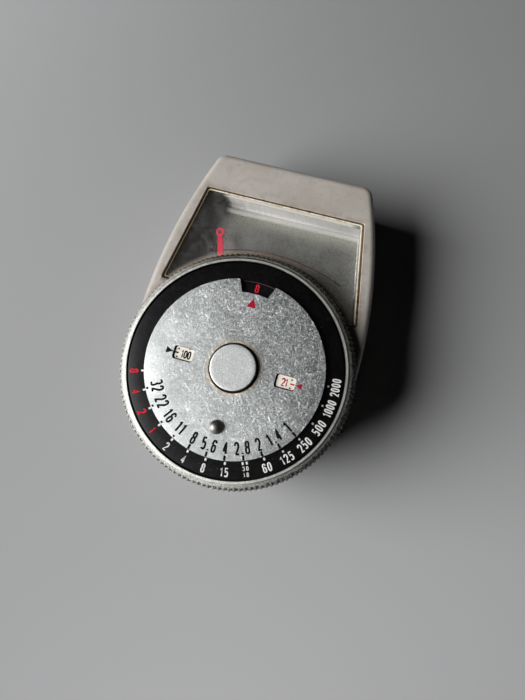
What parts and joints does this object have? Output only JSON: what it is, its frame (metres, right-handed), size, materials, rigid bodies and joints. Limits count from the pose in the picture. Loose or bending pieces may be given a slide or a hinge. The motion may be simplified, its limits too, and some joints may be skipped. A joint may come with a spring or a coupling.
{
  "type": "light meter",
  "caption": "Hand-held selenium light meter: off-white case with window, needle and follow pointer, knurled exposure dial, honeycomb lens and moving-coil movement.",
  "frame": {"origin": "on the back face, straight below the dial's axis", "axes": "+Z out of the dial, +Y towards the sensor end, +X to the right when the dial is read with the sensor end up"},
  "size_m": [0.045, 0.064, 0.0236],
  "materials": {
    "black_lacquer": "satin black",
    "brass": "turned",
    "case_plastic": "warm off-white, lightly worn",
    "clear_glass": "clear, polished",
    "copper": "enamelled copper winding",
    "cover_plastic": "warm off-white, fine grain",
    "cream_lacquer": "satin cream",
    "gasket_rubber": "black",
    "iron": "plain soft iron",
    "lens_plastic": "clear, moulded",
    "magnet": "ground magnet alloy",
    "needle_lacquer": "dark lacquer",
    "red_lacquer": "red lacquer",
    "satin_aluminium": "satin, anodised",
    "scale_metal": "satin, pressed",
    "selenium": "dark grey selenium on steel",
    "spring_bronze": "rolled spring bronze",
    "steel": "bright",
    "wire_cover": "red wire cover"
  },
  "bodies": {
    "meter_body": {"back_cover": "cover_plastic", "bracket_screw_1": "steel", "bracket_screw_2": "steel", "case_body": "case_plastic", "case_screw_1": "steel", "case_screw_2": "steel", "case_screw_3": "steel", "case_screw_4": "steel", "cell_gasket": "gasket_rubber", "center_cap": "satin_aluminium", "center_post": "steel", "chassis_plate": "satin_aluminium", "chassis_screw_1": "steel", "chassis_screw_2": "steel", "chassis_screw_3": "steel", "contact_spring": "spring_bronze", "core_bracket": "brass", "film_speed_disc": "cream_lacquer", "hairspring_pin": "brass", "honeycomb_lens": "lens_plastic", "lead_wire_left": "wire_cover", "lead_wire_right": "wire_cover", "lever_clip": "steel", "lever_stud": "steel", "lower_bridge": "brass", "lower_jewel_screw": "brass", "magnet_core": "magnet", "movement_screw_1": "steel", "movement_screw_2": "steel", "scale_plate": "scale_metal", "selenium_cell": "selenium", "spring_washer": "spring_bronze", "upper_hairspring": "spring_bronze", "upper_jewel_screw": "brass", "window_pane": "clear_glass", "yoke_ring": "iron"},
    "time_ring": {"dial_ring": "satin_aluminium", "time_scale_plate": "black_lacquer", "dial_hub": "brass", "hub_rivet_1": "brass", "hub_rivet_2": "brass", "hub_rivet_3": "brass", "drive_pinion": "brass"},
    "aperture_disc": {"f_stop_disc": "satin_aluminium", "setting_stud": "steel"},
    "follow_pointer": {"sector_lever": "satin_aluminium", "red_pointer": "red_lacquer", "pointer_rivet_1": "brass", "pointer_rivet_2": "brass"},
    "needle_coil": {"coil_winding": "copper", "coil_frame": "satin_aluminium", "upper_staff": "steel", "lower_staff": "steel", "needle": "needle_lacquer"},
    "zero_adjuster": {"zero_screw": "brass"},
    "zero_fork": {"zero_lever": "brass", "lower_hairspring": "spring_bronze"}
  },
  "joints": [
    {"name": "time_ring_turn", "type": "hinge", "parent": "meter_body", "child": "time_ring", "pos_m": [0, 0, 0.0195], "axis": [0, 0, 1], "range_deg": [-132, 24]},
    {"name": "aperture_turn", "type": "hinge", "parent": "meter_body", "child": "aperture_disc", "pos_m": [0, 0, 0.022], "axis": [0, 0, 1], "range_deg": [-48, 48]},
    {"name": "pointer_swing", "type": "hinge", "parent": "meter_body", "child": "follow_pointer", "pos_m": [0, -0.012, 0.0149], "axis": [0, 0, 1], "range_deg": [-33, 6]},
    {"name": "needle_swing", "type": "hinge", "parent": "meter_body", "child": "needle_coil", "pos_m": [0, 0.0046, 0.0085], "axis": [0, 0, 1], "range_deg": [-67.4, 0], "stiffness_Nm_per_rad": 0.000002},
    {"name": "zero_screw_turn", "type": "hinge", "parent": "meter_body", "child": "zero_adjuster", "pos_m": [-0.0066, 0.0046, 0.001], "axis": [0, 0, 1], "range_deg": [-40, 40]},
    {"name": "zero_fork_swing", "type": "hinge", "parent": "meter_body", "child": "zero_fork", "pos_m": [0, 0.0046, 0.0022], "axis": [0, 0, 1], "range_deg": [-4, 4]}
  ],
  "couplings": [
    {"joint": "pointer_swing", "follows": "time_ring_turn", "ratio": 0.25},
    {"joint": "zero_fork_swing", "follows": "zero_screw_turn", "ratio": 0.0704}
  ]
}
